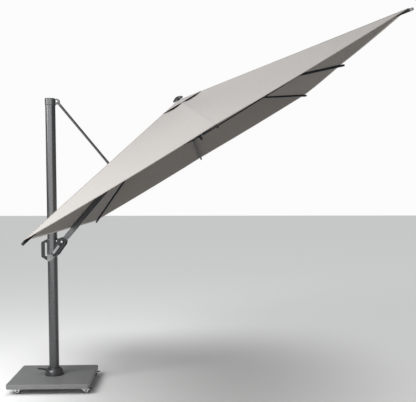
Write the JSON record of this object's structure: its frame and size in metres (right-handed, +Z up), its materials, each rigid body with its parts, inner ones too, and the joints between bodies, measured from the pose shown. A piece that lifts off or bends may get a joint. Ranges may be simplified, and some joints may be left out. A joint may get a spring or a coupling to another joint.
{
  "type": "cantilever parasol",
  "caption": "Side-mast parasol with a wheeled stone base, sliding tilting boom, and a rectangular fabric canopy on folding ribs.",
  "frame": {"origin": "on the floor, midway along the footprint of the whole parasol in X and on its plane of symmetry in Y", "axes": "+X from the mast towards the canopy's far edge, +Y across the canopy away from the tilt lever, +Z up"},
  "size_m": [3.1405, 4.0222, 3.06],
  "materials": {
    "stone": "matte",
    "dark_frame": "satin",
    "grey_frame": "satin",
    "bright_metal": "polished",
    "black_plastic": "satin",
    "grey_plastic": "matte",
    "white_plastic": "satin",
    "fabric": "matte"
  },
  "bodies": {
    "base": {"base_slab": "stone", "mast_socket": "dark_frame"},
    "caster_front_left": {"caster_front_left_fork": "bright_metal"},
    "wheel_front_left": {"caster_front_left_wheel": "black_plastic"},
    "brake_front_left": {"caster_front_left_brake": "grey_plastic"},
    "caster_front_right": {"caster_front_right_fork": "bright_metal"},
    "wheel_front_right": {"caster_front_right_wheel": "black_plastic"},
    "brake_front_right": {"caster_front_right_brake": "grey_plastic"},
    "caster_back_left": {"caster_back_left_fork": "bright_metal"},
    "wheel_back_left": {"caster_back_left_wheel": "black_plastic"},
    "brake_back_left": {"caster_back_left_brake": "grey_plastic"},
    "caster_back_right": {"caster_back_right_fork": "bright_metal"},
    "wheel_back_right": {"caster_back_right_wheel": "black_plastic"},
    "brake_back_right": {"caster_back_right_brake": "grey_plastic"},
    "pedal": {"socket_pedal": "black_plastic"},
    "mast": {"mast": "grey_frame", "mast_foot": "dark_frame", "mast_cap": "dark_frame", "mast_cap_pin": "bright_metal"},
    "slider": {"slider_housing": "dark_frame", "slider_liner": "white_plastic", "slider_cup": "black_plastic", "slider_handle": "black_plastic", "slider_yoke": "dark_frame", "boom_pin": "bright_metal", "yoke_bolt": "bright_metal"},
    "tilt_lever": {"tilt_lever": "grey_plastic"},
    "boom": {"boom": "grey_frame", "boom_foot": "dark_frame", "boom_head": "dark_frame", "strut_bracket": "dark_frame", "strut_pin": "bright_metal", "crown_hub": "dark_frame", "crown_tube": "bright_metal", "crown_finial": "dark_frame", "canopy_boom": "fabric"},
    "strut": {"strut": "grey_frame"},
    "runner": {"runner": "dark_frame", "runner_knob": "black_plastic"},
    "rib_near_left": {"rib_near_left": "dark_frame", "canopy_near_left": "fabric"},
    "stretcher_near_left": {"stretcher_near_left": "dark_frame"},
    "rib_near_middle": {"rib_near_middle": "dark_frame", "canopy_near_middle": "fabric"},
    "stretcher_near_middle": {"stretcher_near_middle": "dark_frame"},
    "rib_near_right": {"rib_near_right": "dark_frame", "canopy_near_right": "fabric"},
    "stretcher_near_right": {"stretcher_near_right": "dark_frame"},
    "rib_right_middle": {"rib_right_middle": "dark_frame", "canopy_right_middle": "fabric"},
    "stretcher_right_middle": {"stretcher_right_middle": "dark_frame"},
    "rib_far_right": {"rib_far_right": "dark_frame", "canopy_far_right": "fabric"},
    "stretcher_far_right": {"stretcher_far_right": "dark_frame"},
    "rib_far_middle": {"rib_far_middle": "dark_frame", "canopy_far_middle": "fabric"},
    "stretcher_far_middle": {"stretcher_far_middle": "dark_frame"},
    "rib_far_left": {"rib_far_left": "dark_frame", "canopy_far_left": "fabric"},
    "stretcher_far_left": {"stretcher_far_left": "dark_frame"}
  },
  "joints": [
    {"name": "caster_front_left_swivel", "type": "hinge", "parent": "base", "child": "caster_front_left", "pos_m": [-1.5103, -0.315, 0.05], "axis": [0, 0, 1], "continuous": true},
    {"name": "caster_front_left_roll", "type": "hinge", "parent": "caster_front_left", "child": "wheel_front_left", "pos_m": [-1.4783, -0.315, 0.026], "axis": [0, 1, 0], "continuous": true},
    {"name": "caster_front_left_brake", "type": "hinge", "parent": "caster_front_left", "child": "brake_front_left", "pos_m": [-1.4563, -0.315, 0.045], "axis": [0, -1, 0], "range_deg": [0, 6]},
    {"name": "caster_front_right_swivel", "type": "hinge", "parent": "base", "child": "caster_front_right", "pos_m": [-0.8803, -0.315, 0.05], "axis": [0, 0, 1], "continuous": true},
    {"name": "caster_front_right_roll", "type": "hinge", "parent": "caster_front_right", "child": "wheel_front_right", "pos_m": [-0.8483, -0.315, 0.026], "axis": [0, 1, 0], "continuous": true},
    {"name": "caster_front_right_brake", "type": "hinge", "parent": "caster_front_right", "child": "brake_front_right", "pos_m": [-0.8263, -0.315, 0.045], "axis": [0, -1, 0], "range_deg": [0, 6]},
    {"name": "caster_back_left_swivel", "type": "hinge", "parent": "base", "child": "caster_back_left", "pos_m": [-1.5103, 0.315, 0.05], "axis": [0, 0, 1], "continuous": true},
    {"name": "caster_back_left_roll", "type": "hinge", "parent": "caster_back_left", "child": "wheel_back_left", "pos_m": [-1.4783, 0.315, 0.026], "axis": [0, 1, 0], "continuous": true},
    {"name": "caster_back_left_brake", "type": "hinge", "parent": "caster_back_left", "child": "brake_back_left", "pos_m": [-1.4563, 0.315, 0.045], "axis": [0, -1, 0], "range_deg": [0, 6]},
    {"name": "caster_back_right_swivel", "type": "hinge", "parent": "base", "child": "caster_back_right", "pos_m": [-0.8803, 0.315, 0.05], "axis": [0, 0, 1], "continuous": true},
    {"name": "caster_back_right_roll", "type": "hinge", "parent": "caster_back_right", "child": "wheel_back_right", "pos_m": [-0.8483, 0.315, 0.026], "axis": [0, 1, 0], "continuous": true},
    {"name": "caster_back_right_brake", "type": "hinge", "parent": "caster_back_right", "child": "brake_back_right", "pos_m": [-0.8263, 0.315, 0.045], "axis": [0, -1, 0], "range_deg": [0, 6]},
    {"name": "socket_pedal_press", "type": "hinge", "parent": "base", "child": "pedal", "pos_m": [-1.2673, 0, 0.1443], "axis": [0, -1, 0], "range_deg": [0, 14]},
    {"name": "mast_turn", "type": "hinge", "parent": "base", "child": "mast", "pos_m": [-1.1953, 0, 0.105], "axis": [0, 0, 1], "continuous": true},
    {"name": "slider_lift", "type": "slide", "parent": "mast", "child": "slider", "axis": [0, 0, 1], "range_m": [-0.05, 0.767]},
    {"name": "tilt_lever_swing", "type": "hinge", "parent": "slider", "child": "tilt_lever", "pos_m": [-1.09486, -0.066, 1.38326], "axis": [0, -1, 0], "range_deg": [0, 35]},
    {"name": "boom_tilt", "type": "hinge", "parent": "slider", "child": "boom", "pos_m": [-1.09486, 0, 1.38326], "axis": [0, 1, 0], "range_deg": [-2.03, 31.01]},
    {"name": "strut_swing", "type": "hinge", "parent": "mast", "child": "strut", "pos_m": [-1.1323, 0, 2.697], "axis": [0, 1, 0], "range_deg": [-34.38, 2.25]},
    {"name": "canopy_fold", "type": "slide", "parent": "boom", "child": "runner", "axis": [0.515, 0, -0.8572], "range_m": [0, 1.784], "deforming": ["canopy_boom"]},
    {"name": "rib_near_left_fold", "type": "hinge", "parent": "boom", "child": "rib_near_left", "pos_m": [-0.0117, -0.0496, 2.67312], "axis": [0.6857, -0.6, 0.412], "range_deg": [0, 66.77], "deforming": ["canopy_near_left"]},
    {"name": "stretcher_near_left_fold", "type": "hinge", "parent": "runner", "child": "stretcher_near_left", "pos_m": [0.18545, -0.0384, 2.36131], "axis": [0.6857, -0.6, 0.412], "range_deg": [-69.4, 0]},
    {"name": "rib_near_middle_fold", "type": "hinge", "parent": "boom", "child": "rib_near_middle", "pos_m": [0.02186, -0.062, 2.68949], "axis": [0.8572, 0, 0.515], "range_deg": [0, 65.99], "deforming": ["canopy_near_middle"]},
    {"name": "stretcher_near_middle_fold", "type": "hinge", "parent": "runner", "child": "stretcher_near_middle", "pos_m": [0.21014, -0.048, 2.37615], "axis": [0.8572, 0, 0.515], "range_deg": [-73.93, 0]},
    {"name": "rib_near_right_fold", "type": "hinge", "parent": "boom", "child": "rib_near_right", "pos_m": [0.05207, -0.0496, 2.71144], "axis": [0.6857, 0.6, 0.412], "range_deg": [0, 66.77], "deforming": ["canopy_near_right"]},
    {"name": "stretcher_near_right_fold", "type": "hinge", "parent": "runner", "child": "stretcher_near_right", "pos_m": [0.23482, -0.0384, 2.39098], "axis": [0.6857, 0.6, 0.412], "range_deg": [-69.4, 0]},
    {"name": "rib_right_middle_fold", "type": "hinge", "parent": "boom", "child": "rib_right_middle", "pos_m": [0.07784, 0, 2.7167], "axis": [0, 1, 0], "range_deg": [0, 65.66], "deforming": ["canopy_right_middle"]},
    {"name": "stretcher_right_middle_fold", "type": "hinge", "parent": "runner", "child": "stretcher_right_middle", "pos_m": [0.25128, 0, 2.40087], "axis": [0, 1, 0], "range_deg": [-82.43, 0]},
    {"name": "rib_far_right_fold", "type": "hinge", "parent": "boom", "child": "rib_far_right", "pos_m": [0.05207, 0.0496, 2.71144], "axis": [-0.6857, 0.6, -0.412], "range_deg": [0, 66.77], "deforming": ["canopy_far_right"]},
    {"name": "stretcher_far_right_fold", "type": "hinge", "parent": "runner", "child": "stretcher_far_right", "pos_m": [0.23482, 0.0384, 2.39098], "axis": [-0.6857, 0.6, -0.412], "range_deg": [-69.4, 0]},
    {"name": "rib_far_middle_fold", "type": "hinge", "parent": "boom", "child": "rib_far_middle", "pos_m": [0.02186, 0.062, 2.68949], "axis": [-0.8572, 0, -0.515], "range_deg": [0, 65.99], "deforming": ["canopy_far_middle"]},
    {"name": "stretcher_far_middle_fold", "type": "hinge", "parent": "runner", "child": "stretcher_far_middle", "pos_m": [0.21014, 0.048, 2.37615], "axis": [-0.8572, 0, -0.515], "range_deg": [-73.93, 0]},
    {"name": "rib_far_left_fold", "type": "hinge", "parent": "boom", "child": "rib_far_left", "pos_m": [-0.0117, 0.0496, 2.67312], "axis": [-0.6857, -0.6, -0.412], "range_deg": [0, 66.77], "deforming": ["canopy_far_left"]},
    {"name": "stretcher_far_left_fold", "type": "hinge", "parent": "runner", "child": "stretcher_far_left", "pos_m": [0.18545, 0.0384, 2.36131], "axis": [-0.6857, -0.6, -0.412], "range_deg": [-69.4, 0]}
  ],
  "couplings": [
    {"joint": "boom_tilt", "follows": "slider_lift", "rad_per_m": 0.70541},
    {"joint": "strut_swing", "follows": "slider_lift", "rad_per_m": -0.78216},
    {"joint": "rib_near_left_fold", "follows": "canopy_fold", "rad_per_m": 0.65312},
    {"joint": "stretcher_near_left_fold", "follows": "canopy_fold", "rad_per_m": -0.67882},
    {"joint": "rib_near_middle_fold", "follows": "canopy_fold", "rad_per_m": 0.64553},
    {"joint": "stretcher_near_middle_fold", "follows": "canopy_fold", "rad_per_m": -0.72314},
    {"joint": "rib_near_right_fold", "follows": "canopy_fold", "rad_per_m": 0.65312},
    {"joint": "stretcher_near_right_fold", "follows": "canopy_fold", "rad_per_m": -0.67882},
    {"joint": "rib_right_middle_fold", "follows": "canopy_fold", "rad_per_m": 0.64222},
    {"joint": "stretcher_right_middle_fold", "follows": "canopy_fold", "rad_per_m": -0.80631},
    {"joint": "rib_far_right_fold", "follows": "canopy_fold", "rad_per_m": 0.65312},
    {"joint": "stretcher_far_right_fold", "follows": "canopy_fold", "rad_per_m": -0.67882},
    {"joint": "rib_far_middle_fold", "follows": "canopy_fold", "rad_per_m": 0.64553},
    {"joint": "stretcher_far_middle_fold", "follows": "canopy_fold", "rad_per_m": -0.72314},
    {"joint": "rib_far_left_fold", "follows": "canopy_fold", "rad_per_m": 0.65312},
    {"joint": "stretcher_far_left_fold", "follows": "canopy_fold", "rad_per_m": -0.67882}
  ]
}
